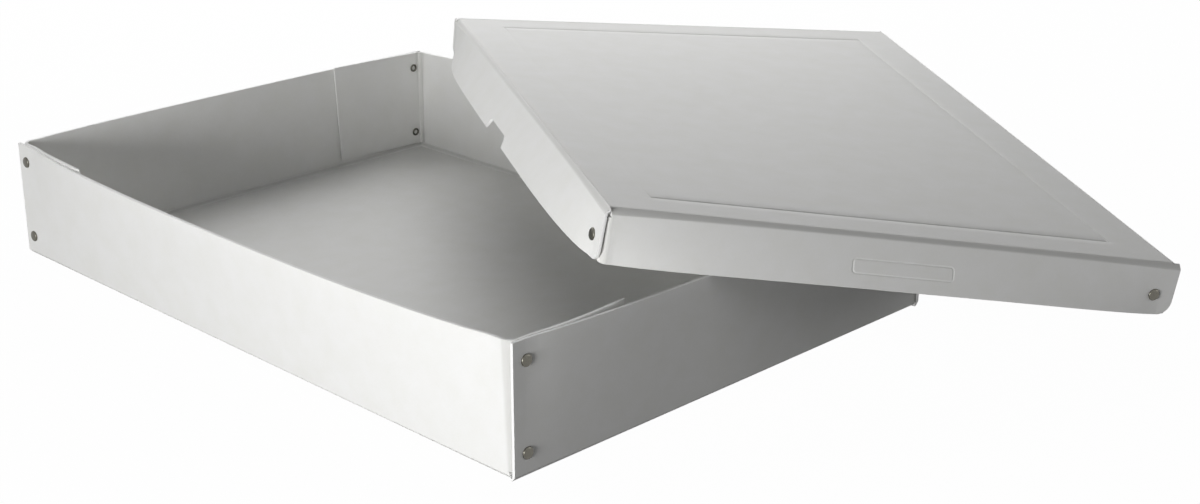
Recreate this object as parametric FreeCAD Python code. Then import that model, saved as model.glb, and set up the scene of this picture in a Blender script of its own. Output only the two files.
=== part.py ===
import FreeCAD, Part
import math
import os

# A shallow document box for loose A4 sheets: a tray and the lid that fits over it.
# Each half is one blank of white solid board, creased, folded and riveted at its corners.
# The lid is off and leans across one corner of the tray, its label wall towards -Y.
# All sizes are in millimetres. The origin is under the middle of the tray's floor.

# Board, alike in both halves
board_thickness = 1.3
fold_inside_radius = 0.9
bead_rise = 0.8
bead_crown = 0.35
relief_slit = 0.4
flap_gap = 0.2

# Tray
tray_length = 330.0
tray_width = 236.0
tray_height = 53.2
tray_side_bow = 7.2
tray_side_bow_power = 2.8
tray_end_bow = 4.1
tray_end_bow_power = 2.6
tray_flap_length = 56.0
tray_flap_slant = 1.8
tray_flap_rise = 0.7
tray_rivet_inset = 6.2
tray_low_rivet = 10.0
tray_high_rivet_from_rim = 7.9

# Lid
lid_clearance = 0.6
lid_height = 21.6
lid_side_bow = 10.8
lid_side_bow_power = 4.0
lid_end_bow = 7.0
lid_end_bow_power = 2.8
lid_twist = 5.7
lid_flap_length = 45.0
lid_flap_slant = 1.2
lid_corner_radius = 6.0
lid_rivet_inset = 9.3
lid_rivet_from_rim = 8.4

# Frame line pressed into the lid's top
frame_side_inset = 22.0
frame_end_inset = 20.0
frame_line_width = 1.3
frame_line_depth = 0.35

# Outline for a label, pressed into the lid's front wall
label_width = 42.5
label_height = 6.2
label_from_top = 10.1
label_corner_radius = 1.0
label_line_width = 0.7
label_line_depth = 0.25

# Finger notch near the middle of each long wall of the lid, with its front end cut slanting
notch_width = 31.5
notch_slant = 5.6
notch_depth = 4.5
notch_corner_radius = 1.2
notch_forward = 6.5

# Tubular rivet: a domed head outside and a rolled end inside
rivet_shank = 3.0
rivet_tube_wall = 0.4
rivet_hole_clearance = 0.1
rivet_head_reach = 0.95
rivet_head_edge = 0.35
rivet_head_dome = 0.55
rivet_seat_clearance = 0.1
rivet_roll_reach = 0.55
rivet_roll_height = 0.55

# Cuts start this far outside the board
cut_spare = 1.0

# How the lid leans. The tray's front right corner carries its top at this place, the tray's
# right rim carries its back left corner, and the tray's front rim carries its front wall.
corner_rest_from_left = 158.6
corner_rest_from_front = 73.8
corner_rest_gap = 0.3
side_rest_gap = 0.5
front_rest_gap = 0.3

# The folds, beads and laps follow from the board
fold_radius = board_thickness + fold_inside_radius
bead_top = fold_radius + bead_rise
lap = board_thickness + flap_gap
setback = lap + bead_top
flap_foot = bead_top + relief_slit

lid_spread = 2 * (board_thickness + lid_clearance)
lid_length = tray_length + lid_spread
lid_width = tray_width + lid_spread

# Each half is drawn lying open side up, with one corner at the origin. Its four walls are
# numbered round from the one along X.
front, right, back, left = range(4)
origin = FreeCAD.Vector(0, 0, 0)
x_axis = FreeCAD.Vector(1, 0, 0)
y_axis = FreeCAD.Vector(0, 1, 0)
z_axis = FreeCAD.Vector(0, 0, 1)

tray = {
    "length": tray_length,
    "width": tray_width,
    "height": tray_height,
    "side_bow": tray_side_bow,
    "side_bow_power": tray_side_bow_power,
    "end_bow": tray_end_bow,
    "end_bow_power": tray_end_bow_power,
    "twist": 0.0,
    "flap_length": tray_flap_length,
    "flap_slant": tray_flap_slant,
    "flap_rise": tray_flap_rise,
    "upright_flaps": [front],
    "rivet_inset": tray_rivet_inset,
    "rivet_ups": [tray_low_rivet - fold_radius, tray_height - tray_high_rivet_from_rim - fold_radius],
}

lid = {
    "length": lid_length,
    "width": lid_width,
    "height": lid_height,
    "side_bow": lid_side_bow,
    "side_bow_power": lid_side_bow_power,
    "end_bow": lid_end_bow,
    "end_bow_power": lid_end_bow_power,
    "twist": lid_twist,
    "flap_length": lid_flap_length,
    "flap_slant": lid_flap_slant,
    "flap_rise": 0.0,
    "upright_flaps": [],
    "rivet_inset": lid_rivet_inset,
    "rivet_ups": [lid_height - lid_rivet_from_rim - fold_radius],
}

# The corner at each wall's free end. The lid is turned over, so its corners change sides.
tray_corners = ["front_left", "front_right", "back_right", "back_left"]
lid_corners = ["front_right", "front_left", "back_left", "back_right"]


def straight(start, end):
    return Part.LineSegment(start, end).toShape()


def curved(start, middle, end):
    return Part.Arc(start, middle, end).toShape()


def prism(edges, way):
    return Part.Face(Part.Wire(edges)).extrude(way)


# A wall is drawn in its own frame: along it, inwards from its outer face, and up.
def on_wall(shape, board, wall):
    placed = shape.copy()
    placed.rotate(origin, z_axis, 90 * wall)
    corners = [
        FreeCAD.Vector(0, 0, 0),
        FreeCAD.Vector(board["width"], 0, 0),
        FreeCAD.Vector(board["width"], board["length"], 0),
        FreeCAD.Vector(0, board["length"], 0),
    ]
    placed.translate(corners[wall])
    return placed


def wall_length(board, wall):
    if wall in (front, back):
        return board["width"]
    return board["length"]


# How far the rim bulges outwards at a place along the wall
def rim_bow(board, wall, along):
    if wall in (front, back):
        bow = board["end_bow"]
        power = board["end_bow_power"]
    else:
        bow = board["side_bow"]
        power = board["side_bow_power"]
    half = wall_length(board, wall) / 2
    share = abs(along - half) / (half - setback)
    return bow * max(0.0, 1 - share ** power)


# The wall stays straight up its height and leans out about its fold
def lean(board, wall, along):
    return math.asin(rim_bow(board, wall, along) / (board["height"] - fold_radius))


def rim_reach(board):
    return board["height"] - fold_radius


# A point of a leaning wall: how far up from the fold's end, and how deep from the outer face
def wall_point(angle, up, deep):
    inwards = fold_radius * (1 - math.cos(angle)) - up * math.sin(angle) + deep * math.cos(angle)
    height = fold_radius * (1 - math.sin(angle)) + up * math.cos(angle) + deep * math.sin(angle)
    return inwards, height


def fold_middle(angle):
    turn = math.radians(225) + angle / 2
    return fold_radius * (1 + math.cos(turn)), fold_radius * (1 + math.sin(turn))


# The pressed board stands out in a bead inside each fold
def bead_middle(top, foot):
    run = top[0] - foot[0]
    rise = top[1] - foot[1]
    chord = math.hypot(run, rise)
    inwards = (top[0] + foot[0]) / 2 + bead_crown * rise / chord
    height = (top[1] + foot[1]) / 2 - bead_crown * run / chord
    return inwards, height


# Twist: each cross section is turned about the long line under its middle. The ends beyond
# the setback turn as one with it.
def twisted(shape, board, y):
    share = min(max(y, setback), board["length"] - setback) / board["length"]
    angle = math.atan(2 * board["twist"] / board["width"]) * (2 * share - 1)
    turned = shape.copy()
    turned.rotate(FreeCAD.Vector(board["width"] / 2, 0, 0), y_axis, -math.degrees(angle))
    return turned


# A point on or in a wall, in the frame of its half
def spot(board, wall, along, up, deep):
    inwards, height = wall_point(lean(board, wall, along), up, deep)
    point = on_wall(Part.Vertex(along, inwards, height), board, wall)
    return twisted(point, board, point.Y).Point


# Puts a shape drawn at the origin, along X, up Y and outwards Z, on a wall's outer face
def set_on_wall(shape, board, wall, along, up):
    ahead = spot(board, wall, along + 1, up, 0) - spot(board, wall, along - 1, up, 0)
    above = spot(board, wall, along, up + 1, 0) - spot(board, wall, along, up - 1, 0)
    turn = FreeCAD.Rotation(ahead, above, ahead.cross(above), "ZXY")
    place = FreeCAD.Placement(spot(board, wall, along, up, 0), turn)
    return shape.transformed(place.toMatrix())


# Sections lie closer together near the ends, where the bow changes most
def stations(first, last, count=9):
    middle = (first + last) / 2
    half = (last - first) / 2
    return [middle - half * math.cos(math.pi * step / (count - 1)) for step in range(count)]


# One wall's edges from under the floor round the fold, over the rim and down to the bead
def wall_edges(board, angle, point):
    up = rim_reach(board)
    low = point(*wall_point(angle, 0, 0))
    rim_outside = point(*wall_point(angle, up, 0))
    rim_inside = point(*wall_point(angle, up, board_thickness))
    top = wall_point(angle, bead_rise, board_thickness)
    foot = (bead_top, board_thickness)
    return [
        curved(point(fold_radius, 0), point(*fold_middle(angle)), low),
        straight(low, rim_outside),
        straight(rim_outside, rim_inside),
        straight(rim_inside, point(*top)),
        curved(point(*top), point(*bead_middle(top, foot)), point(*foot)),
    ]


def wall_section(board, angle, along):
    def point(inwards, height):
        return FreeCAD.Vector(along, inwards, height)

    floor_edges = [
        straight(point(bead_top, board_thickness), point(setback, board_thickness)),
        straight(point(setback, board_thickness), point(setback, 0)),
        straight(point(setback, 0), point(fold_radius, 0)),
    ]
    return Part.Wire(wall_edges(board, angle, point) + floor_edges)


# The panel and the two long walls make one channel, turned along its length by the twist
def twisted_channel(board):
    wires = []
    for y in stations(setback, board["length"] - setback):
        def left_point(inwards, height):
            return FreeCAD.Vector(inwards, y, height)

        def right_point(inwards, height):
            return FreeCAD.Vector(board["width"] - inwards, y, height)

        angle = lean(board, right, y)
        left_edges = wall_edges(board, angle, left_point)
        right_edges = wall_edges(board, angle, right_point)
        right_edges.reverse()
        inner = straight(left_point(bead_top, board_thickness), right_point(bead_top, board_thickness))
        outer = straight(right_point(fold_radius, 0), left_point(fold_radius, 0))
        wires.append(twisted(Part.Wire(left_edges + [inner] + right_edges + [outer]), board, y))
    return Part.makeLoft(wires, True, False)


def wall_run(board, wall):
    wires = [
        wall_section(board, lean(board, wall, along), along)
        for along in stations(setback, wall_length(board, wall) - setback)
    ]
    return on_wall(Part.makeLoft(wires, True, False), board, wall)


# A half without twist has a flat plate between its long walls
def flat_channel(board):
    width = board["width"] - 2 * setback
    length = board["length"] - 2 * setback
    plate = Part.makeBox(width, length, board_thickness, FreeCAD.Vector(setback, setback, 0))
    return plate.multiFuse([wall_run(board, right), wall_run(board, left)])


# A wall's free end: the bead stops at the panel's edge, and the bare wall runs to the corner
def free_end(board, wall):
    beaded = Part.Face(wall_section(board, 0, fold_radius))
    beaded = beaded.extrude(FreeCAD.Vector(setback - fold_radius, 0, 0))

    def point(inwards, height):
        return FreeCAD.Vector(0, inwards, height)

    thick = board_thickness
    inner_middle = fold_radius - fold_inside_radius * math.sqrt(0.5)
    inner_fold = (point(thick, fold_radius), point(inner_middle, inner_middle), point(fold_radius, thick))
    edges = [
        curved(point(fold_radius, 0), point(*fold_middle(0)), point(0, fold_radius)),
        straight(point(0, fold_radius), point(0, board["height"])),
        straight(point(0, board["height"]), point(thick, board["height"])),
        straight(point(thick, board["height"]), point(thick, fold_radius)),
        curved(*inner_fold),
        straight(point(fold_radius, thick), point(fold_radius, 0)),
    ]
    bare = prism(edges, FreeCAD.Vector(fold_radius, 0, 0))
    return on_wall(beaded.fuse(bare), board, wall)


# A wall's folded end: the fold along the panel runs on to the relief slit
def folded_foot(board, wall):
    def point(inwards, height):
        return FreeCAD.Vector(wall_length(board, wall) - setback, inwards, height)

    thick = board_thickness
    top = (thick, bead_top)
    foot = (bead_top, thick)
    edges = [
        straight(point(setback, 0), point(fold_radius, 0)),
        curved(point(fold_radius, 0), point(*fold_middle(0)), point(0, fold_radius)),
        straight(point(0, fold_radius), point(0, bead_top)),
        straight(point(0, bead_top), point(*top)),
        curved(point(*top), point(*bead_middle(top, foot)), point(*foot)),
        straight(point(*foot), point(setback, thick)),
        straight(point(setback, thick), point(setback, 0)),
    ]
    run = setback - fold_radius - relief_slit
    return on_wall(prism(edges, FreeCAD.Vector(run, 0, 0)), board, wall)


# Above the slit the wall turns the corner in an upright fold, one lap in from the corner
def elbow(board, wall):
    def point(back_from_lap, inwards):
        along = wall_length(board, wall) - lap - back_from_lap
        return FreeCAD.Vector(along, inwards, flap_foot)

    thick = board_thickness
    top = (bead_top, thick)
    foot = (thick, bead_top)
    edges = [
        straight(point(bead_top, 0), point(fold_radius, 0)),
        curved(point(fold_radius, 0), point(*fold_middle(0)), point(0, fold_radius)),
        straight(point(0, fold_radius), point(0, setback)),
        straight(point(0, setback), point(thick, setback)),
        straight(point(thick, setback), point(*foot)),
        curved(point(*foot), point(*bead_middle(foot, top)), point(*top)),
        straight(point(*top), point(bead_top, 0)),
    ]
    height = board["height"] - flap_foot
    return on_wall(prism(edges, FreeCAD.Vector(0, 0, height)), board, wall)


# The flap lies along the inside of the next wall. Most flaps lean out with that wall, and
# an upright one springs away from it.
def flap(board, wall):
    wires = []
    for along in stations(setback, board["flap_length"], 4):
        share = (along - setback) / (board["flap_length"] - setback)
        angle = lean(board, wall, along)
        if wall in board["upright_flaps"]:
            angle = 0
        low = flap_foot + board["flap_slant"] * share - fold_radius
        high = rim_reach(board) + board["flap_rise"] * share
        corners = [
            FreeCAD.Vector(along, *wall_point(angle, low, lap)),
            FreeCAD.Vector(along, *wall_point(angle, high, lap)),
            FreeCAD.Vector(along, *wall_point(angle, high, lap + board_thickness)),
            FreeCAD.Vector(along, *wall_point(angle, low, lap + board_thickness)),
        ]
        wire = on_wall(Part.makePolygon(corners + corners[:1]), board, wall)
        wires.append(twisted(wire, board, wire.CenterOfMass.y))
    return Part.makeLoft(wires, True, False)


# The wall at one end of the channel, its two corners and the flaps behind them
def end_group(board, wall):
    before = (wall - 1) % 4
    after = (wall + 1) % 4
    pieces = [
        wall_run(board, wall),
        free_end(board, wall),
        free_end(board, after),
        folded_foot(board, before),
        folded_foot(board, wall),
        elbow(board, before),
        elbow(board, wall),
    ]
    y = board["length"] if wall == back else 0
    pieces = [twisted(piece, board, y) for piece in pieces]
    return pieces + [flap(board, wall), flap(board, after)]


def folded_board(board):
    channel = twisted_channel(board) if board["twist"] else flat_channel(board)
    pieces = end_group(board, front) + end_group(board, back)
    return channel.multiFuse(pieces).removeSplitter()


# A rivet goes through each wall near its free end and through the flap behind it, and grips
# all that lies between its head and its rolled end. An upright flap stands off a little more.
def rivet_grip(board, wall, along, up):
    grip = lap + board_thickness
    if wall in board["upright_flaps"]:
        grip += rim_bow(board, wall, along + rivet_shank) * up / rim_reach(board)
    return grip


def rivet(board, wall, along, up):
    shank = rivet_shank / 2
    bore = shank - rivet_tube_wall
    head = shank + rivet_head_reach
    roll = shank + rivet_roll_reach
    seat = rivet_seat_clearance
    edge = seat + rivet_head_edge
    top = edge + rivet_head_dome
    inner = -rivet_grip(board, wall, along, up) - seat

    def point(radius, height):
        return FreeCAD.Vector(radius, 0, height)

    edges = [
        curved(point(0, top), point(head / 2, top - rivet_head_dome / 4), point(head, edge)),
        straight(point(head, edge), point(head, seat)),
        straight(point(head, seat), point(shank, seat)),
        straight(point(shank, seat), point(shank, inner)),
        straight(point(shank, inner), point(roll, inner)),
        curved(point(roll, inner), point((roll + bore) / 2, inner - rivet_roll_height), point(bore, inner)),
        straight(point(bore, inner), point(bore, 0)),
        straight(point(bore, 0), point(0, 0)),
        straight(point(0, 0), point(0, top)),
    ]
    solid = Part.Face(Part.Wire(edges)).revolve(origin, z_axis, 360)
    return set_on_wall(solid, board, wall, along, up)


def rivet_hole(board, wall, along, up):
    depth = rivet_grip(board, wall, along, up) + cut_spare
    radius = rivet_shank / 2 + rivet_hole_clearance
    hole = Part.makeCylinder(radius, depth + cut_spare, FreeCAD.Vector(0, 0, -depth))
    return set_on_wall(hole, board, wall, along, up)


# A block on a wall, centred along it, that starts at a height and reaches into the wall
def rounded_block(width, height, radius, low, deep):
    corner = FreeCAD.Vector(-width / 2, low, -deep)
    block = Part.makeBox(width, height, deep + cut_spare, corner)
    upright = [edge for edge in block.Edges if abs(edge.Length - deep - cut_spare) < 1e-6]
    return block.makeFillet(radius, upright)


def label_outline():
    line = label_line_width
    outside = rounded_block(
        label_width, label_height, label_corner_radius + line, 0, label_line_depth
    )
    inside = rounded_block(
        label_width - 2 * line, label_height - 2 * line, label_corner_radius, line, label_line_depth
    )
    return set_on_wall(outside.cut(inside), lid, front, lid_width / 2, label_from_top - fold_radius)


# A block with one slanting end, rounded where it cuts deepest
def notch_block(towards_front):
    deep = board_thickness + cut_spare
    high = notch_depth + cut_spare
    half = notch_width / 2
    slope = notch_slant * high / notch_depth
    corners = [
        FreeCAD.Vector(-half, 0, -deep),
        FreeCAD.Vector(half, 0, -deep),
        FreeCAD.Vector(half + (slope if towards_front > 0 else 0), high, -deep),
        FreeCAD.Vector(-half - (slope if towards_front < 0 else 0), high, -deep),
    ]
    face = Part.Face(Part.makePolygon(corners + corners[:1]))
    block = face.extrude(FreeCAD.Vector(0, 0, deep + cut_spare))
    upright = [edge for edge in block.Edges if abs(edge.Length - deep - cut_spare) < 1e-6]
    rounded = [edge for edge in upright if abs(edge.CenterOfMass.y) < 1e-6]
    return block.makeFillet(notch_corner_radius, rounded)


def notch(wall):
    towards_front = -1 if wall == right else 1
    along = lid_length / 2 + towards_front * notch_forward
    return set_on_wall(notch_block(towards_front), lid, wall, along, rim_reach(lid) - notch_depth)


# The frame line follows the twist of the panel
def frame_lines():
    x_low = frame_side_inset
    x_high = lid_width - frame_side_inset
    y_low = frame_end_inset
    y_high = lid_length - frame_end_inset
    lines = []
    for x in (x_low, x_high - frame_line_width):
        wires = []
        for y in stations(y_low, y_high):
            corners = [
                FreeCAD.Vector(x, y, -cut_spare),
                FreeCAD.Vector(x + frame_line_width, y, -cut_spare),
                FreeCAD.Vector(x + frame_line_width, y, frame_line_depth),
                FreeCAD.Vector(x, y, frame_line_depth),
            ]
            wires.append(twisted(Part.makePolygon(corners + corners[:1]), lid, y))
        lines.append(Part.makeLoft(wires, True, False))
    for y in (y_low, y_high - frame_line_width):
        corner = FreeCAD.Vector(x_low, y, -cut_spare)
        line = Part.makeBox(x_high - x_low, frame_line_width, cut_spare + frame_line_depth, corner)
        lines.append(twisted(line, lid, y + frame_line_width / 2))
    return lines[0].multiFuse(lines[1:])


# The free lower corners of the lid's walls are rounded, in front of the square elbows
def corner_rounding(wall):
    radius = lid_corner_radius
    bite = radius * (1 - math.sqrt(0.5))
    over = lid_height + cut_spare

    def point(along, height):
        return FreeCAD.Vector(along, -cut_spare, height)

    edges = [
        curved(point(0, lid_height - radius), point(bite, lid_height - bite), point(radius, lid_height)),
        straight(point(radius, lid_height), point(radius, over)),
        straight(point(radius, over), point(-cut_spare, over)),
        straight(point(-cut_spare, over), point(-cut_spare, lid_height - radius)),
        straight(point(-cut_spare, lid_height - radius), point(0, lid_height - radius)),
    ]
    cutter = prism(edges, FreeCAD.Vector(0, cut_spare + board_thickness + flap_gap / 2, 0))
    cutter = on_wall(cutter, lid, wall)
    return twisted(cutter, lid, cutter.CenterOfMass.y)


def rivet_places(board):
    return [(wall, board["rivet_inset"], up) for wall in range(4) for up in board["rivet_ups"]]


def tray_board():
    holes = [rivet_hole(tray, *place) for place in rivet_places(tray)]
    return folded_board(tray).cut(holes)


def lid_board():
    cutters = [rivet_hole(lid, *place) for place in rivet_places(lid)]
    cutters += [corner_rounding(wall) for wall in range(4)]
    cutters += [notch(wall) for wall in (right, left)]
    cutters += [frame_lines(), label_outline()]
    return folded_board(lid).cut(cutters)


# The lid is drawn open side up and comes down turned over. Three places on it are set on
# the tray's front right corner, its right rim and its front rim.
def seated(on_corner, on_side, on_front):
    rim = rim_reach(tray)
    corner = FreeCAD.Vector(tray_width, 0, tray_height)
    side = spot(tray, right, (on_side - on_corner).Length, rim, board_thickness)
    front_rim = spot(tray, front, tray_width - (on_front - on_corner).Length, rim, 0)

    lid_ahead = on_side - on_corner
    lid_up = lid_ahead.cross(on_front - on_corner)
    tray_ahead = side - corner
    tray_up = tray_ahead.cross(front_rim - corner)
    lid_turn = FreeCAD.Rotation(lid_ahead, lid_up.cross(lid_ahead), lid_up, "XZY")
    tray_turn = FreeCAD.Rotation(tray_ahead, tray_up.cross(tray_ahead), tray_up, "XZY")
    turn = tray_turn.multiply(lid_turn.inverted())
    return FreeCAD.Placement(corner - turn.multVec(on_corner), turn)


# Each place is a small gap outside the lid. The one on its front wall is moved along that
# wall until it lies over the tray's front rim.
def resting_place():
    rim = rim_reach(lid)
    under_top = board_thickness + corner_rest_gap
    on_corner = Part.Vertex(lid_width - corner_rest_from_left, corner_rest_from_front, under_top)
    on_corner = twisted(on_corner, lid, corner_rest_from_front).Point
    on_side = spot(lid, right, lid_length - lap, rim + side_rest_gap, 0)
    along = lid_width / 2
    for _ in range(6):
        on_front = spot(lid, front, along, rim + front_rest_gap, board_thickness)
        place = seated(on_corner, on_side, on_front)
        landed = place.multVec(on_front)
        miss = landed.y + rim_bow(tray, front, landed.x)
        along -= miss / place.Rotation.multVec(x_axis).y
    return place


def save(shape, place, name):
    shape.transformed(place.toMatrix()).exportStep(f"parts/{name}.step")


os.makedirs("parts", exist_ok=True)
tray_place = FreeCAD.Placement(FreeCAD.Vector(-tray_width / 2, -tray_length / 2, 0), FreeCAD.Rotation())
lid_place = tray_place.multiply(resting_place())
save(tray_board(), tray_place, "tray_board")
save(lid_board(), lid_place, "lid_board")
levels = ["lower", "upper"]
for index, place in enumerate(rivet_places(tray)):
    name = f"tray_rivet_{tray_corners[index // 2]}_{levels[index % 2]}"
    save(rivet(tray, *place), tray_place, name)
for index, place in enumerate(rivet_places(lid)):
    save(rivet(lid, *place), lid_place, f"lid_rivet_{lid_corners[index]}")
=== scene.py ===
import math
import bpy
from mathutils import Euler, Matrix, Vector


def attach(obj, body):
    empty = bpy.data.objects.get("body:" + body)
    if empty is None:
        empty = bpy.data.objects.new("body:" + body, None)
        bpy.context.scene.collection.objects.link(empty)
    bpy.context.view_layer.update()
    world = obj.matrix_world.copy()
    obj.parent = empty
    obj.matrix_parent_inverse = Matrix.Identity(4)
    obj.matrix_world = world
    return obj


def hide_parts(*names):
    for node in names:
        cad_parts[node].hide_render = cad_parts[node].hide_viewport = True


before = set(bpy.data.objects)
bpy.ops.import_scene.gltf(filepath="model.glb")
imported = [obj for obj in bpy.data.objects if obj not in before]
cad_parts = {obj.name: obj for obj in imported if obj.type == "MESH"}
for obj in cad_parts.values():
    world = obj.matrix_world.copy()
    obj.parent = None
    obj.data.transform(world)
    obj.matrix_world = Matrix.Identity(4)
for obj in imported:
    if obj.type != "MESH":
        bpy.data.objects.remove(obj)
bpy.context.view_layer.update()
scene = bpy.context.scene
mm = 0.001
print("frame loaded:", len(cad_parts), "nodes")

# Both halves are cut flat from one board, scored, folded up and riveted at the corners.
# Sizes are in millimetres. A half is drawn open side up, with one corner at the origin.
sheet = {
    "thickness": 1.3,
    "foldRadius": 2.2,
    "insideRadius": 0.9,
    "beadRise": 0.8,  # how far a bead pressed inside each fold reaches past the fold on both sides
    "beadCrown": 0.35,
    "slit": 0.4,
    "flapGap": 0.2,
    "startSlack": 1.0,  # a point this far before a wall's start still counts as on it
    "cutEdgeRound": 0.16,
    "cutAngle": 50,  # degrees, past which an edge counts as cut
    "cutSlope": (0.2, 0.9),  # how level a face may lie to show the core's colour fully, and at all
    "cornerBend": 2.7,  # how much wider the bend round an upright corner is at the rim
    "endCrush": 0.75,  # how much thinner the die leaves a flap's end
    "crushedRun": 3.0,
    "springCurve": 1.3,  # how late a sprung flap bends away: one is straight
    "scoreFlat": 0.8,  # how far the scored fold is flattened from round to a straight bevel
    "scoreDepth": 0.16,  # a shallow line pressed just inside each fold
    "scoreWidth": 0.45,
    "rubbedRun": (-1.2, 0.6),  # from a fold's edge, where its painted shade is full and where it ends
    "gridStep": 6.0,
    "leastStep": 0.05,
    "smoothAngle": 32,
}
foldRadius = sheet["foldRadius"]
thickness = sheet["thickness"]
foldArc = foldRadius * math.pi / 2
beadTop = foldRadius + sheet["beadRise"]
lap = thickness + sheet["flapGap"]
setback = lap + beadTop  # from a corner to where a wall starts to bulge
flapFoot = beadTop + sheet["slit"]

# Extra lines of the grid, measured inwards from a wall's outer face, that keep the bends round
bendLines = (6.2, 5.6, 5.0, 4.1, 3.35, 1.7, 1.2, 0.7, 0.244, 0.0, -0.35, -0.8)
roundLines = (0.3, 0.8, 1.6, 2.6, 3.8)  # the same for the rounded lower corners, from the rim

tray = {
    "body": "tray",
    "node": "tray_board",
    "width": 236.0,
    "length": 330.0,
    "height": 53.2,
    "sideBow": (7.2, 2.8),  # how far the long rims bulge, and how squarely
    "endBow": (4.1, 2.6),
    "bowEase": 0.12,
    "twist": 0.0,
    "flapLength": 56.0,
    "flapSlant": 1.8,
    "flapRise": 0.7,
    "sprungFlap": {"wall": 0, "start": 27.0, "gap": 2.2},  # it springs off the wall past its rivets
    "rimRound": 0.0,
    "rivetInset": 6.2,
    "rivetHeights": [10.0, 45.3],
}

lid = {
    "body": "lid",
    "node": "lid_board",
    "width": 239.8,
    "length": 333.8,
    "height": 21.6,
    "sideBow": (10.8, 4.0),
    "endBow": (7.0, 2.8),
    "bowEase": 0.07,
    "twist": 5.7,
    "flapLength": 45.0,
    "flapSlant": 1.2,
    "flapRise": 0.0,
    "sprungFlap": None,
    "rimRound": 6.0,
    "rivetInset": 9.3,
    "rivetHeights": [13.2],
}

# The lid lies turned over in its drawing, so this place turns it back and leans it
leaning = {"corner": (147.810, -270.265, 43.901), "turn": (179.1926, -7.6876, 148.2528)}

# A line pressed into the lid's top, as a frame
pressedFrame = {
    "sideInset": 22.65,
    "endInset": 20.65,
    "halfWidth": 0.8,
    "depth": 0.32,
    "faintDepth": 0.06,  # along one long side
    "fullRun": 2.0,  # the faint side keeps its full depth this near to its corners
    "gridLines": (-1, -0.66, -0.33, 0, 0.33, 0.66, 1),  # in half widths
}

# An outline for a label, pressed into the lid's front wall
pressedLabel = {
    "width": 42.5,
    "height": 6.2,
    "fromTop": 10.1,
    "round": 1.7,
    "lineInset": 0.35,
    "halfWidth": 0.5,
    "depth": 0.18,
    "gridLines": (-0.35, -0.15, 0.05, 0.2, 0.35, 0.5, 0.65, 0.85, 1.1, 1.4, 1.8),  # inside its edge
}

# A notch for a finger in each long wall of the lid, with a slanting front end
fingerNotch = {
    "width": 31.5,
    "slant": 5.6,
    "slantRun": 1.5,  # the slant is drawn out of this many times its width of board
    "depth": 4.5,
    "forward": 6.5,
    "round": 1.2,
    "roundSteps": 6,
    "clearOfLines": 1.3,  # no line of the grid lies nearer to the notch's top
    "reach": 0.01,  # how near a point is to count as on the notch's edge
}


def selectNothing():
    for thing in bpy.context.selected_objects:
        thing.select_set(False)


def smoothStep(low, high, value):
    share = min(max((value - low) / (high - low), 0.0), 1.0)
    return share * share * (3 - 2 * share)


# The walls are numbered round from the front one, and each is measured along and inwards
def alongWall(half, wall, x, y):
    width, length = half["width"], half["length"]
    return [(x, y), (y, width - x), (width - x, length - y), (length - y, x)][wall]


def fromWall(half, wall, along, inwards):
    width, length = half["width"], half["length"]
    places = [
        (along, inwards),
        (width - inwards, along),
        (width - along, length - inwards),
        (inwards, length - along),
    ]
    return places[wall]


def wallLength(half, wall):
    return half["width"] if wall in (0, 2) else half["length"]


def leanAt(half, wall, along):
    bow, power = half["endBow"] if wall in (0, 2) else half["sideBow"]
    middle = wallLength(half, wall) / 2
    share = abs(along - middle) / (middle - setback)
    ease = smoothStep(0, half["bowEase"], 1 - share)  # the bulge starts softly from each corner
    return math.asin(bow * max(0.0, 1 - share ** power) * ease / (half["height"] - foldRadius))


# How far inwards and how high a point of a leaning wall is
def wallPoint(angle, up, deep):
    inwards = foldRadius * (1 - math.cos(angle)) - up * math.sin(angle) + deep * math.cos(angle)
    height = foldRadius * (1 - math.sin(angle)) + up * math.cos(angle) + deep * math.sin(angle)
    return inwards, height


# Takes a point of the flat board, at a run past the fold's start, round the fold
def foldSection(angle, run, deep, beadShare, flatness=0.0):
    turn = min(max(run / foldArc, 0.0), 1.0) * (math.pi / 2 - angle)
    if run <= 0:
        outer = (foldRadius - run, 0.0)
        inner = (foldRadius - run, thickness)
    elif run <= foldArc:
        inside = sheet["insideRadius"]
        outer = (foldRadius * (1 - math.sin(turn)), foldRadius * (1 - math.cos(turn)))
        inner = (foldRadius - inside * math.sin(turn), foldRadius - inside * math.cos(turn))
        top = wallPoint(angle, 0, 0)
        share = run / foldArc
        straight = (foldRadius + (top[0] - foldRadius) * share, top[1] * share)
        outer = [part + (line - part) * flatness for part, line in zip(outer, straight)]
    else:
        outer = wallPoint(angle, run - foldArc, 0)
        inner = wallPoint(angle, run - foldArc, thickness)
    reach = sheet["beadRise"]
    share = (run + reach) / (foldArc + 2 * reach)
    if 0 < share < 1:
        top = wallPoint(angle, reach, thickness)
        foot = (beadTop, thickness)
        chord = (top[0] - foot[0], top[1] - foot[1])
        size = math.hypot(*chord)
        crown = sheet["beadCrown"] * 4 * share * (1 - share)
        bead = (
            foot[0] + chord[0] * share + crown * chord[1] / size,
            foot[1] + chord[1] * share - crown * chord[0] / size,
        )
        inner = (
            inner[0] + (bead[0] - inner[0]) * beadShare,
            inner[1] + (bead[1] - inner[1]) * beadShare,
        )
    part = deep / thickness
    return outer[0] + (inner[0] - outer[0]) * part, outer[1] + (inner[1] - outer[1]) * part


def cornerSpread(half, run):
    return sheet["cornerBend"] * max(0.0, run - foldArc - flapFoot) / (tray["height"] - foldRadius)


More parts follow.
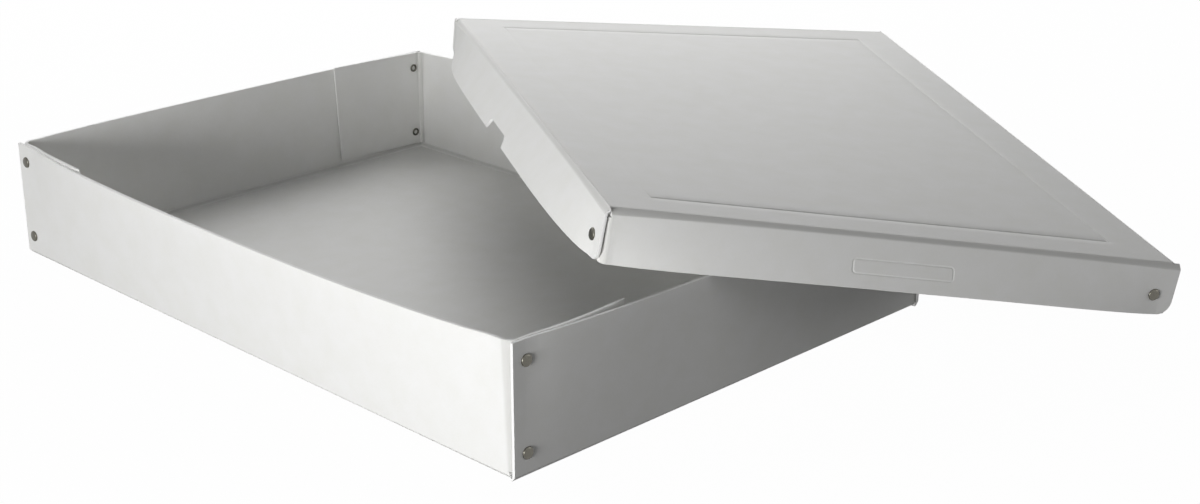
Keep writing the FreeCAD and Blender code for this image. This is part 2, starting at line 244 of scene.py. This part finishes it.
# Past the corner the wall is a flap, which lies along the inside of the next wall
def flapPoint(half, wall, along, run, deep):
    after = (wall + 1) % 4
    forward = along - (wallLength(half, wall) - lap - foldRadius)
    plan = foldSection(0.0, forward, deep, 1.0)
    spread = cornerSpread(half, run)
    turn = (forward + spread) / (2 * spread + foldArc)
    if 0 < turn < 1:
        bend = foldRadius + spread
        outside = (bend * (1 - math.sin(turn * math.pi / 2)), bend * (1 - math.cos(turn * math.pi / 2)))
        inside = foldSection(0.0, forward, thickness, 1.0)
        part = deep / thickness
        plan = tuple(out + (kept - out) * part for out, kept in zip(outside, inside))
    behind = lap + plan[0]
    # a flap's end is crushed on the side that lies against the wall
    crushed = smoothStep(half["flapLength"] - sheet["crushedRun"], half["flapLength"], plan[1])
    behind += sheet["endCrush"] * crushed * (1 - deep / thickness)
    share = min(max((plan[1] - setback) / (half["flapLength"] - setback), 0.0), 1.0)
    low = flapFoot - foldRadius + half["flapSlant"] * share
    high = half["height"] - foldRadius + half["flapRise"] * share
    rise = (run - foldArc - flapFoot + foldRadius) / (half["height"] - flapFoot)
    angle = leanAt(half, after, plan[1])
    sprung = half["sprungFlap"]
    if sprung and sprung["wall"] == after:
        past = max(0.0, plan[1] - sprung["start"]) / (half["flapLength"] - sprung["start"])
        angle -= math.asin(sprung["gap"] * past ** sheet["springCurve"] / (half["height"] - foldRadius))
    inwards, height = wallPoint(angle, low + (high - low) * rise, behind)
    return fromWall(half, after, plan[1], inwards) + (height,)


def wallOf(half, x, y):
    for wall in range(4):
        along, inwards = alongWall(half, wall, x, y)
        run = foldRadius - inwards
        pastSlit = along > wallLength(half, wall) - foldRadius - sheet["slit"] / 2
        lowDown = run < foldArc + sheet["beadRise"] + sheet["slit"] / 2
        if run > 0 and along > -sheet["startSlack"] and not (pastSlit and lowDown):
            return wall, along, run
    return None


# The free lower corners are rounded by drawing a square of the board in to a quarter disc
def roundedCorner(half, along, run):
    radius = half["rimRound"]
    reach = foldArc + half["height"] - foldRadius
    if not radius or along > radius or run < reach - radius:
        return along, run
    across = (radius - along) / radius
    down = (run - reach + radius) / radius
    newAcross = across * math.sqrt(1 - down * down / 2)
    newDown = down * math.sqrt(1 - across * across / 2)
    return radius - radius * newAcross, reach - radius + radius * newDown


def folded(half, x, y, deep):
    found = wallOf(half, x, y)
    if found is None:
        place = [x, y, deep]
        for wall in range(4):
            along, inwards = alongWall(half, wall, x, y)
            run = foldRadius - inwards
            if run > -sheet["beadRise"]:
                newInwards, height = foldSection(leanAt(half, wall, along), run, deep, 1.0)
                moved = fromWall(half, wall, along, newInwards)
                place[0] += moved[0] - x
                place[1] += moved[1] - y
                place[2] += height - deep
    else:
        wall, along, run = found
        along, run = roundedCorner(half, along, run)
        if along > wallLength(half, wall) - lap - foldRadius - cornerSpread(half, run):
            onFlap = run > foldArc + sheet["beadRise"] + sheet["slit"] / 2
        else:
            onFlap = False
        if onFlap:
            place = flapPoint(half, wall, along, run, deep)
        else:
            beadShare = smoothStep(sheet["beadRise"], foldRadius + sheet["slit"], along)
            lean = leanAt(half, wall, along)
            inwards, height = foldSection(lean, run, deep, beadShare, sheet["scoreFlat"])
            place = fromWall(half, wall, along, inwards) + (height,)
    return twisted(half, *place)


# Each cross section is turned about the long line under its middle
def twisted(half, x, y, z):
    length = half["length"]
    share = min(max(y, setback), length - setback) / length
    angle = math.atan(2 * half["twist"] / half["width"]) * (2 * share - 1)
    across = x - half["width"] / 2
    turnedX = across * math.cos(angle) - z * math.sin(angle)
    turnedZ = across * math.sin(angle) + z * math.cos(angle)
    return Vector((turnedX + half["width"] / 2, y, turnedZ))


def placeOf(half):
    if half is lid:
        turn = Euler([math.radians(angle) for angle in leaning["turn"]], "XYZ").to_matrix().to_4x4()
        return Matrix.Translation(Vector(leaning["corner"])) @ turn
    return Matrix.Translation((-half["width"] / 2, -half["length"] / 2, 0))


# Lines of the flat board on which the folds, slits, rims and flap ends lie
def cornerLines(half):
    rim = -(foldArc + half["height"] - 2 * foldRadius)
    flapEnd = lap + 2 * foldRadius - foldArc - half["flapLength"]
    slitLow = foldRadius - foldArc - sheet["beadRise"]
    slit = sheet["slit"]
    lines = list(bendLines)
    lines += [setback, lap + foldRadius, beadTop, foldRadius + slit, foldRadius, foldRadius - foldArc]
    lines += [slitLow + slit, slitLow, slitLow - slit, rim, flapEnd]
    if half["rimRound"]:
        lines += [half["rimRound"], rim + half["rimRound"]] + [rim + back for back in roundLines]
    return lines


def filledIn(marks, step):
    marks = sorted(set(round(mark, 4) for mark in marks))
    lines = [marks[0]]
    for mark in marks[1:]:
        gap = mark - lines[-1]
        if gap < sheet["leastStep"]:
            continue
        count = max(1, math.ceil(gap / step))
        start = lines[-1]
        lines += [start + gap * (index + 1) / count for index in range(count)]
    return lines


def notchMiddle():
    return lid["length"] / 2 - fingerNotch["forward"]


def notchTop(half):
    return fingerNotch["depth"] - (foldArc + half["height"] - 2 * foldRadius)


def gridLines(half, across):
    span = half["width"] if across else half["length"]
    marks = cornerLines(half)
    marks += [span - mark for mark in marks]
    if half is lid:
        inset = pressedFrame["sideInset"] if across else pressedFrame["endInset"]
        reach = pressedFrame["halfWidth"]
        for middle in (inset, span - inset):
            marks += [middle + reach * share for share in pressedFrame["gridLines"]]
        label = pressedLabel
        steps = label["gridLines"]
        notch = fingerNotch
        if across:
            for side in (-1, 1):
                marks += [span / 2 + side * (label["width"] / 2 - step) for step in steps]
        else:
            low = 2 * foldRadius - foldArc - label["fromTop"]
            marks += [low - step for step in steps]
            marks += [low - label["height"] + step for step in steps]
            ends = [notchMiddle() + side * notch["width"] / 2 for side in (-1, 1)]
            marks += ends
            drawnRun = notch["slant"] * notch["slantRun"]
            marks += [ends[0] - drawnRun * share for share in (1 / 3, 2 / 3, 1)]
        if across:
            clear = notch["clearOfLines"]
            tops = [notchTop(half), span - notchTop(half)]
            marks = [mark for mark in marks if min(abs(mark - top) for top in tops) > clear] + tops
    return filledIn(marks, sheet["gridStep"])


def isBoard(half, x, y):
    inPanel = True
    for wall in range(4):
        length = wallLength(half, wall)
        along, inwards = alongWall(half, wall, x, y)
        run = foldRadius - inwards
        if run < 0:
            continue
        inPanel = False
        rim = foldArc + half["height"] - foldRadius
        if run > rim or along < 0:
            continue
        slitLow = foldArc + sheet["beadRise"]
        if run < slitLow:
            kept = along < length - foldRadius - sheet["slit"]
        elif run < slitLow + sheet["slit"]:
            kept = along < length - beadTop
        else:
            kept = along < length - lap - 2 * foldRadius + foldArc + half["flapLength"]
        if half is lid and wall in (1, 3) and run > rim - fingerNotch["depth"]:
            kept = kept and abs(y - notchMiddle()) > fingerNotch["width"] / 2
        if kept:
            return True
    return inPanel


def bevelEdges(test, width, segments):
    mesh = bpy.context.object.data
    bpy.ops.mesh.select_mode(type="EDGE")
    bpy.ops.mesh.select_all(action="DESELECT")
    bpy.ops.object.mode_set(mode="OBJECT")
    for edge in mesh.edges:
        ends = [mesh.vertices[index].co for index in edge.vertices]
        edge.select = test(*ends)
    bpy.ops.object.mode_set(mode="EDIT")
    bpy.ops.mesh.bevel(
        offset=width, offset_type="OFFSET", segments=segments, profile=0.5, affect="EDGES"
    )


def flatBoard(half, name):
    columns = gridLines(half, True)
    rows = gridLines(half, False)
    selectNothing()
    bpy.ops.mesh.primitive_grid_add(
        x_subdivisions=len(columns) - 1, y_subdivisions=len(rows) - 1, size=half["length"]
    )
    board = bpy.context.object
    board.name = name
    mesh = board.data
    perRow = len(columns)
    for index, vertex in enumerate(mesh.vertices):
        vertex.co = (columns[index % perRow], rows[index // perRow], 0.0)
    bpy.ops.object.mode_set(mode="EDIT")
    bpy.ops.mesh.select_mode(type="FACE")
    bpy.ops.mesh.select_all(action="DESELECT")
    bpy.ops.object.mode_set(mode="OBJECT")
    for polygon in mesh.polygons:
        centre = polygon.center
        polygon.select = not isBoard(half, centre.x, centre.y)
    bpy.ops.object.mode_set(mode="EDIT")
    bpy.ops.mesh.delete(type="FACE")
    bpy.ops.mesh.select_all(action="SELECT")
    bpy.ops.mesh.extrude_region_move(TRANSFORM_OT_translate={"value": (0, 0, thickness)})
    bpy.ops.mesh.select_all(action="SELECT")
    bpy.ops.mesh.normals_make_consistent(inside=False)
    return board


# The notch's front end slants, so the board beside it is drawn away towards the rim
def slantAt(half, spot):
    notch = fingerNotch
    rim = foldArc + half["height"] - 2 * foldRadius
    outside = max(-spot.x, spot.x - half["width"])
    rise = min(max(outside - rim + notch["depth"], 0.0), notch["depth"]) / notch["depth"]
    away = notchMiddle() - notch["width"] / 2 - spot.y
    drawnRun = notch["slant"] * notch["slantRun"]
    if away < -notch["reach"] or away > drawnRun:
        return 0.0
    return -notch["slant"] * rise * (1 - away / drawnRun)


# One on the bend of a fold, fading to nothing beside it: where the painted shade on the folds lies
def foldNearness(half, spot):
    found = wallOf(half, spot.x, spot.y)
    nearest = math.inf
    for wall in range(4):
        along, inwards = alongWall(half, wall, spot.x, spot.y)
        run = foldRadius - inwards
        if found is None or found[0] == wall:
            nearest = min(nearest, abs(run - foldArc / 2) - foldArc / 2)
        if found is not None and found[0] == wall and run > foldArc + sheet["beadRise"]:
            spread = cornerSpread(half, run)
            forward = along - (wallLength(half, wall) - lap - foldRadius)
            nearest = min(nearest, abs(forward - foldArc / 2) - foldArc / 2 - spread)
    return 1 - smoothStep(*sheet["rubbedRun"], nearest)


def shapeNotches(half, board):
    notch = fingerNotch
    tops = (notchTop(half), half["width"] - notchTop(half))

    def isNotchCorner(start, end):
        upright = abs(start.x - end.x) + abs(start.y - end.y) < notch["reach"] / 10
        atEnd = abs(abs(start.y - notchMiddle()) - notch["width"] / 2) < notch["reach"]
        atTop = min(abs(start.x - top) for top in tops) < notch["reach"]
        return upright and atEnd and atTop

    bevelEdges(isNotchCorner, notch["round"], notch["roundSteps"])
    bpy.ops.object.mode_set(mode="OBJECT")
    for vertex in board.data.vertices:
        vertex.co.y += slantAt(half, vertex.co)
    bpy.ops.object.mode_set(mode="EDIT")


# One layer holds each point's place on the flat board in metres. The other says how near
# a fold is, for the painted shade on the folds, and where the board's cut edge shows.
def mapBoard(half, mesh, flat):
    layer = mesh.uv_layers[0] if mesh.uv_layers else mesh.uv_layers.new(name="flatBoard")
    layer.name = "flatBoard"
    for loop in mesh.loops:
        spot = flat[loop.vertex_index]
        layer.data[loop.index].uv = (spot.x * mm, spot.y * mm)
    wear = mesh.uv_layers.new(name="wear")
    for polygon in mesh.polygons:
        onCut = 1 - smoothStep(*sheet["cutSlope"], abs(polygon.normal.z))
        for corner in polygon.loop_indices:
            spot = flat[mesh.loops[corner].vertex_index]
            wear.data[corner].uv = (foldNearness(half, spot), onCut)


def finishBoard(half, name):
    board = flatBoard(half, name)
    if half is lid:
        shapeNotches(half, board)
    bpy.ops.mesh.select_all(action="DESELECT")
    bpy.ops.mesh.edges_select_sharp(sharpness=math.radians(sheet["cutAngle"]))
    bpy.ops.mesh.bevel(
        offset=sheet["cutEdgeRound"], offset_type="OFFSET", segments=2, profile=0.5, affect="EDGES",
        clamp_overlap=True,
    )
    bpy.ops.object.mode_set(mode="OBJECT")
    mesh = board.data
    flat = [vertex.co.copy() for vertex in mesh.vertices]
    mapBoard(half, mesh, flat)
    place = placeOf(half)
    for vertex, spot in zip(mesh.vertices, flat):
        deep = spot.z + pressedIn(half, spot) * (1 - spot.z / thickness)
        vertex.co = (place @ folded(half, spot.x, spot.y, deep)) * mm
    board.matrix_world = Matrix.Identity(4)
    bpy.ops.object.shade_smooth_by_angle(angle=math.radians(sheet["smoothAngle"]))
    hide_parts(half["node"])
    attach(board, half["body"])
    print(name, "folded:", len(mesh.polygons), "faces")
    return board


# How deep the outer face is pressed in: beside the folds, and on the lid in the frame and label
def pressedIn(half, spot):
    score = 0.0
    if wallOf(half, spot.x, spot.y) is None:
        scoreAt = foldRadius + sheet["slit"]
        nearest = min(abs(alongWall(half, wall, spot.x, spot.y)[1] - scoreAt) for wall in range(4))
        score = sheet["scoreDepth"] * (1 - smoothStep(0, sheet["scoreWidth"], nearest))
    if half is not lid:
        return score
    pressed = pressedFrame
    width, length = half["width"], half["length"]
    away = max(
        abs(spot.x - width / 2) - width / 2 + pressed["sideInset"],
        abs(spot.y - length / 2) - length / 2 + pressed["endInset"],
    )
    faintReach = length / 2 - pressed["endInset"] - pressed["fullRun"]
    besideLine = abs(spot.x - width + pressed["sideInset"]) < pressed["halfWidth"]
    isFaint = besideLine and abs(spot.y - length / 2) < faintReach
    depth = pressed["faintDepth"] if isFaint else pressed["depth"]
    press = score + depth * (1 - smoothStep(0, pressed["halfWidth"], abs(away)))
    label = pressedLabel
    low = 2 * foldRadius - foldArc - label["fromTop"]
    line = label["round"] - label["lineInset"]
    acrossLabel = abs(spot.x - width / 2) - label["width"] / 2 + label["round"]
    upLabel = abs(spot.y - low + label["height"] / 2) - label["height"] / 2 + label["round"]
    corner = math.hypot(max(acrossLabel, 0), max(upLabel, 0)) + min(max(acrossLabel, upLabel), 0)
    return press + label["depth"] * (1 - smoothStep(0, label["halfWidth"], abs(corner - line)))


trayBoard = finishBoard(tray, "tray_folded_board")
lidBoard = finishBoard(lid, "lid_folded_board")


# Rivets: a domed head outside, and a tube rolled over inside
rivet = {
    "shank": 1.5,
    "bore": 1.1,
    "head": 2.45,
    "seat": 0.06,
    "headEdge": 0.34,
    "flatTop": 1.65,
    "shoulder": 0.5,
    "dome": 0.1,
    "shoulderSteps": 6,
    "shoulderInset": 0.03,
    # the head's rim, as how far inside its edge and how far above its seat
    "rim": ((0.0, 0.22), (0.0, 0.12), (0.04, 0.05), (0.16, 0.0)),
    "rollReach": 0.55,
    "rollHeight": 0.6,
    "rollSteps": 8,
    # the bore's blind end, as how far inside the bore and at what height
    "boreEnd": ((0.0, -0.4), (0.25, 0.0)),
    "boreTop": 0.1,
    "gripSlack": 0.1,
    "turnSteps": 40,
    "smoothAngle": 40,
}


def rivetOutline(grip):
    head, seat, flat = rivet["head"], rivet["seat"], rivet["flatTop"]
    shank, bore = rivet["shank"], rivet["bore"]
    edge = seat + rivet["headEdge"]
    shoulder = edge + rivet["shoulder"]
    outline = [(0.0, shoulder + rivet["dome"])]
    for share in (0.25, 0.5, 0.75, 1.0):
        outline.append((flat * share, shoulder + rivet["dome"] * (1 - share * share)))
    spread = head - rivet["shoulderInset"] - flat
    for step in range(1, rivet["shoulderSteps"] + 1):
        angle = step / rivet["shoulderSteps"] * math.pi / 2
        outline.append((flat + spread * math.sin(angle), edge + rivet["shoulder"] * math.cos(angle)))
    outline += [(head - inside, seat + above) for inside, above in rivet["rim"]]
    outline += [(shank, seat), (shank, -grip)]
    middle = (shank + rivet["rollReach"] + bore) / 2
    half = middle - bore
    for step in range(rivet["rollSteps"] + 1):
        angle = math.pi * step / rivet["rollSteps"]
        outline.append((middle + half * math.cos(angle), -grip - rivet["rollHeight"] * math.sin(angle)))
    outline += [(bore - inside, level) for inside, level in rivet["boreEnd"]]
    outline.append((0.0, rivet["boreTop"]))
    return outline


def makeRivet(half, wall, height, name):
    along = half["rivetInset"]
    up = height - foldRadius

    def spot(forward, rise, deep):
        angle = leanAt(half, wall, along + forward)
        inwards, level = wallPoint(angle, up + rise, deep)
        return placeOf(half) @ twisted(half, *fromWall(half, wall, along + forward, inwards), level)

    grip = lap + thickness + rivet["gripSlack"]
    ahead = (spot(1, 0, 0) - spot(-1, 0, 0)).normalized()
    above = (spot(0, 1, 0) - spot(0, -1, 0)).normalized()
    outwards = ahead.cross(above).normalized()
    above = outwards.cross(ahead)
    turn = Matrix((ahead, above, outwards)).transposed().to_4x4()
    place = Matrix.Translation(spot(0, 0, 0)) @ turn

    outline = rivetOutline(grip)
    selectNothing()
    bpy.ops.mesh.primitive_circle_add(vertices=len(outline), radius=1)
    piece = bpy.context.object
    piece.name = name
    mesh = piece.data
    for vertex, (radius, level) in zip(mesh.vertices, outline):
        vertex.co = (radius, 0, level)
    bpy.ops.object.mode_set(mode="EDIT")
    bpy.ops.mesh.select_mode(type="EDGE")
    bpy.ops.mesh.select_all(action="DESELECT")
    bpy.ops.object.mode_set(mode="OBJECT")
    for edge in mesh.edges:
        edge.select = set(edge.vertices) == {0, len(outline) - 1}
    bpy.ops.object.mode_set(mode="EDIT")
    bpy.ops.mesh.delete(type="EDGE")
    bpy.ops.mesh.select_all(action="SELECT")
    bpy.ops.mesh.spin(
        steps=rivet["turnSteps"], angle=2 * math.pi, center=(0, 0, 0), axis=(0, 0, 1),
        use_auto_merge=True,
    )
    bpy.ops.mesh.select_all(action="SELECT")
    bpy.ops.mesh.remove_doubles(threshold=0.001)
    bpy.ops.mesh.normals_make_consistent(inside=False)
    bpy.ops.object.mode_set(mode="OBJECT")
    for vertex in mesh.vertices:
        vertex.co = (place @ vertex.co) * mm
    piece.matrix_world = Matrix.Identity(4)
    bpy.ops.object.shade_smooth_by_angle(angle=math.radians(rivet["smoothAngle"]))
    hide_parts(name.replace("_finished", ""))
    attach(piece, half["body"])
    return piece


trayCorners = ["front_left", "front_right", "back_right", "back_left"]
lidCorners = ["front_right", "front_left", "back_left", "back_right"]
rivets = []
for wall in range(4):
    for level, height in zip(("lower", "upper"), tray["rivetHeights"]):
        name = f"tray_rivet_{trayCorners[wall]}_{level}_finished"
        rivets.append(makeRivet(tray, wall, height, name))
    name = f"lid_rivet_{lidCorners[wall]}_finished"
    rivets.append(makeRivet(lid, wall, lid["rivetHeights"][0], name))
print("rivets set:", len(rivets))


# A colour written as sRGB hex, turned to the linear values that a shader takes
def linearColour(code):
    linear = []
    for index in (1, 3, 5):
        part = int(code[index:index + 2], 16) / 255
        linear.append(part / 12.92 if part <= 0.04045 else ((part + 0.055) / 1.055) ** 2.4)
    return linear + [1.0]


def addNode(tree, kind, settings=None, links=None):
    node = tree.nodes.new(kind)
    for name, value in (settings or {}).items():
        if isinstance(name, int) or name in node.inputs:
            node.inputs[name].default_value = value
        else:
            setattr(node, name, value)
    for name, source in (links or {}).items():
        tree.links.new(source, node.inputs[name])
    return node


def newMaterial(name):
    material = bpy.data.materials.new(name)
    material.use_nodes = True
    tree = material.node_tree
    tree.nodes.clear()
    return material, tree


# Solid board, bleached white and uncoated, pressed from pulp: matt, with short fibres that lie
# mostly along one way, faint cloudy patches and no gloss. Real fibres are about 0.03 mm wide,
# too fine to show, so they are drawn about ten times as wide.
boardFinish = {
    "white": "#f1f1f0",
    # the colour of the painted shade laid on each fold, and how much of it is laid on
    "rubbed": "#c4c4c0",
    "foldGrey": 0.45,
    "core": "#fbfbfa",
    "cloud": "#ededea",
    "fibreLengthMm": 1.6,
    "fibreWidthMm": 0.35,
    "fibreShare": 0.55,
    "fibreReliefMm": 0.06,
    "reliefStrength": 0.25,
    "cloudMm": 14.0,
    "cloudRange": (0.55, 1.0),
    "roughness": 0.62,
    "ior": 1.45,
    "specular": 0.35,
}


def whiteBoard():
    material, tree = newMaterial("uncoatedWhiteSolidBoard")
    flat = addNode(tree, "ShaderNodeUVMap", {"uv_map": "flatBoard"})
    lengthWays = addNode(
        tree, "ShaderNodeMapping",
        {"Scale": (1000 / boardFinish["fibreWidthMm"], 1000 / boardFinish["fibreLengthMm"], 1)},
        {"Vector": flat.outputs["UV"]},
    )
    fibres = addNode(
        tree, "ShaderNodeTexNoise", {"Scale": 1.0, "Detail": 3.0, "Roughness": 0.6},
        {"Vector": lengthWays.outputs["Vector"]},
    )
    clouds = addNode(
        tree, "ShaderNodeTexNoise",
        {"Scale": 1000 / boardFinish["cloudMm"], "Detail": 4.0, "Roughness": 0.62},
        {"Vector": flat.outputs["UV"]},
    )
    both = addNode(
        tree, "ShaderNodeMath", {"operation": "MULTIPLY_ADD", 1: boardFinish["fibreShare"]},
        {0: fibres.outputs["Fac"], 2: clouds.outputs["Fac"]},
    )
    dull, clear = boardFinish["cloudRange"]
    tone = addNode(
        tree, "ShaderNodeMapRange", {"From Min": dull, "From Max": clear},
        {"Value": both.outputs["Value"]},
    )
    cloud, white = linearColour(boardFinish["cloud"]), linearColour(boardFinish["white"])
    colour = addNode(
        tree, "ShaderNodeMix", {"data_type": "RGBA", 6: cloud, 7: white}, {0: tone.outputs["Result"]}
    )
    # painted shade darkens the board on each fold, and the cut edge shows the whiter core
    wear = addNode(tree, "ShaderNodeUVMap", {"uv_map": "wear"})
    parts = addNode(tree, "ShaderNodeSeparateXYZ", None, {"Vector": wear.outputs["UV"]})
    rubbed = addNode(
        tree, "ShaderNodeMath", {"operation": "MULTIPLY", 1: boardFinish["foldGrey"]},
        {0: parts.outputs["X"]},
    )
    folds = addNode(
        tree, "ShaderNodeMix", {"data_type": "RGBA", 7: linearColour(boardFinish["rubbed"])},
        {0: rubbed.outputs["Value"], 6: colour.outputs[2]},
    )
    edges = addNode(
        tree, "ShaderNodeMix", {"data_type": "RGBA", 7: linearColour(boardFinish["core"])},
        {0: parts.outputs["Y"], 6: folds.outputs[2]},
    )
    bump = addNode(
        tree, "ShaderNodeBump",
        {"Strength": boardFinish["reliefStrength"], "Distance": boardFinish["fibreReliefMm"] * mm},
        {"Height": fibres.outputs["Fac"]},
    )
    shader = addNode(
        tree, "ShaderNodeBsdfPrincipled",
        {
            "Roughness": boardFinish["roughness"],
            "IOR": boardFinish["ior"],
            "Specular IOR Level": boardFinish["specular"],
        },
        {"Base Color": edges.outputs[2], "Normal": bump.outputs["Normal"]},
    )
    addNode(tree, "ShaderNodeOutputMaterial", None, {"Surface": shader.outputs["BSDF"]})
    return material


# Steel rivets, nickel plated and gone dull with age: a warm dark grey, mottled, half glossy.
# The mottling is drawn as coarse as it needs to show.
rivetFinish = {
    "dull": "#77756d",
    "dark": "#53514a",
    "grainMm": 0.5,
    "grainReliefMm": 0.05,
    "reliefStrength": 0.3,
    "roughness": (0.22, 0.42),
}


def dullNickel():
    material, tree = newMaterial("dulledNickelPlatedSteel")
    place = addNode(tree, "ShaderNodeTexCoord")
    grain = addNode(
        tree, "ShaderNodeTexNoise",
        {"Scale": 1000 / rivetFinish["grainMm"], "Detail": 3.0, "Roughness": 0.6},
        {"Vector": place.outputs["Object"]},
    )
    dark, dull = linearColour(rivetFinish["dark"]), linearColour(rivetFinish["dull"])
    colour = addNode(
        tree, "ShaderNodeMix", {"data_type": "RGBA", 6: dark, 7: dull}, {0: grain.outputs["Fac"]}
    )
    smooth, worn = rivetFinish["roughness"]
    rough = addNode(
        tree, "ShaderNodeMapRange", {"To Min": smooth, "To Max": worn}, {"Value": grain.outputs["Fac"]}
    )
    bump = addNode(
        tree, "ShaderNodeBump",
        {"Strength": rivetFinish["reliefStrength"], "Distance": rivetFinish["grainReliefMm"] * mm},
        {"Height": grain.outputs["Fac"]},
    )
    shader = addNode(
        tree, "ShaderNodeBsdfPrincipled", {"Metallic": 1.0},
        {
            "Base Color": colour.outputs[2],
            "Roughness": rough.outputs["Result"],
            "Normal": bump.outputs["Normal"],
        },
    )
    addNode(tree, "ShaderNodeOutputMaterial", None, {"Surface": shader.outputs["BSDF"]})
    return material


def dress(piece, material):
    piece.data.materials.clear()
    piece.data.materials.append(material)


boardMaterial = whiteBoard()
rivetMaterial = dullNickel()
for piece in (trayBoard, lidBoard):
    dress(piece, boardMaterial)
for piece in rivets:
    dress(piece, rivetMaterial)
for name in list(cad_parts):
    dress(bpy.data.objects[name], rivetMaterial if "rivet" in name else boardMaterial)
print("materials on")

# A pale floor that shows white to the camera but keeps a soft shadow
room = {
    "floorSize": 6.0,
    "floorDrop": 0.0002,  # keeps the floor from sharing a plane with the tray's underside
    "floorColour": "#f4f4f4",
    "bounceColour": "#616161",  # how much light the floor sends back onto the box
    "whiteShare": 0.985,
    "roughness": 0.9,
    "specular": 0.1,
}


# One where the camera, a gloss or a clear surface looks straight at it, and nought for other light
def seenStraight(tree):
    path = addNode(tree, "ShaderNodeLightPath")
    straight = addNode(
        tree, "ShaderNodeMath", {"operation": "MAXIMUM"},
        {0: path.outputs["Is Camera Ray"], 1: path.outputs["Is Glossy Ray"]},
    )
    seen = addNode(
        tree, "ShaderNodeMath", {"operation": "MAXIMUM"},
        {0: straight.outputs["Value"], 1: path.outputs["Is Transmission Ray"]},
    )
    return seen.outputs["Value"]


def paleFloor():
    material, tree = newMaterial("mattWhitePaperSweep")
    seen = seenStraight(tree)
    share = addNode(
        tree, "ShaderNodeMath", {"operation": "MULTIPLY", 1: room["whiteShare"]}, {0: seen}
    )
    bounce, pale = linearColour(room["bounceColour"]), linearColour(room["floorColour"])
    shade = addNode(
        tree, "ShaderNodeMix", {"data_type": "RGBA", 6: bounce, 7: pale}, {0: seen}
    )
    paper = addNode(
        tree, "ShaderNodeBsdfPrincipled",
        {"Roughness": room["roughness"], "Specular IOR Level": room["specular"]},
        {"Base Color": shade.outputs[2]},
    )
    white = addNode(tree, "ShaderNodeEmission", {"Color": (1, 1, 1, 1), "Strength": 1.0})
    mixed = addNode(
        tree, "ShaderNodeMixShader", None,
        {0: share.outputs["Value"], 1: paper.outputs["BSDF"], 2: white.outputs["Emission"]},
    )
    addNode(tree, "ShaderNodeOutputMaterial", None, {"Surface": mixed.outputs["Shader"]})
    return material


selectNothing()
bpy.ops.mesh.primitive_plane_add(size=room["floorSize"], location=(0, 0, -room["floorDrop"]))
floor = bpy.context.object
floor.name = "floor"
floor.data.materials.append(paleFloor())

# The world shows white behind the floor and lights nothing
world = bpy.data.worlds.new("studio")
scene.world = world
world.use_nodes = True
tree = world.node_tree
tree.nodes.clear()
sky = addNode(
    tree, "ShaderNodeBackground", {"Color": (1, 1, 1, 1)}, {"Strength": seenStraight(tree)}
)
addNode(tree, "ShaderNodeOutputWorld", None, {"Surface": sky.outputs["Background"]})

# Soft boxes: where each stands, what it faces, its sides in metres and its power
lamps = {
    "leftBox": {
        "place": (-0.90, -0.20, 0.08), "aim": (-0.05, -0.05, 0.03), "sides": (0.45, 0.40), "watts": 7.8,
    },
    "nearLeftBox": {
        "place": (-0.60, -0.30, 0.06), "aim": (-0.10, -0.12, 0.03), "sides": (0.25, 0.20), "watts": 0.72,
    },
    "rightTopBox": {
        "place": (0.50, 0.50, 0.60), "aim": (0.0, 0.0, 0.06), "sides": (0.8, 0.8), "watts": 5.8,
    },
    "backBox": {
        "place": (0.0, 0.70, 0.45), "aim": (0.1, 0.1, 0.08), "sides": (0.6, 0.6), "watts": 0.6,
    },
    "overheadBox": {
        "place": (0.0, -0.60, 1.0), "aim": (0.0, 0.0, 0.06), "sides": (0.4, 0.4), "watts": 0.32,
    },
    "lowFrontBox": {
        "place": (0.70, -0.90, 0.15), "aim": (0.14, -0.20, 0.05), "sides": (0.4, 0.3), "watts": 1.36,
    },
}


def softBox(name, settings):
    data = bpy.data.lights.new(name, "AREA")
    data.shape = "RECTANGLE"
    data.size, data.size_y = settings["sides"]
    data.energy = settings["watts"]
    lamp = bpy.data.objects.new(name, data)
    bpy.context.collection.objects.link(lamp)
    place = Vector(settings["place"])
    lamp.location = place
    lamp.visible_camera = False
    lamp.rotation_euler = (Vector(settings["aim"]) - place).to_track_quat("-Z", "Y").to_euler()
    return lamp


for name, settings in lamps.items():
    softBox(name, settings)

# The camera stands where the photograph was taken from
view = {
    "place": (-0.52727, -0.61529, 0.31120),
    "turn": (69.7056, 0.0486, -45.0913),
    "lens": 58.189,
    "sensor": 36,
}
cameraData = bpy.data.cameras.new("camera")
cameraData.sensor_width = view["sensor"]
cameraData.lens = view["lens"]
camera = bpy.data.objects.new("camera", cameraData)
bpy.context.collection.objects.link(camera)
camera.location = view["place"]
camera.rotation_euler = [math.radians(angle) for angle in view["turn"]]
scene.camera = camera

scene.view_settings.view_transform = "Standard"

print("scene ready")
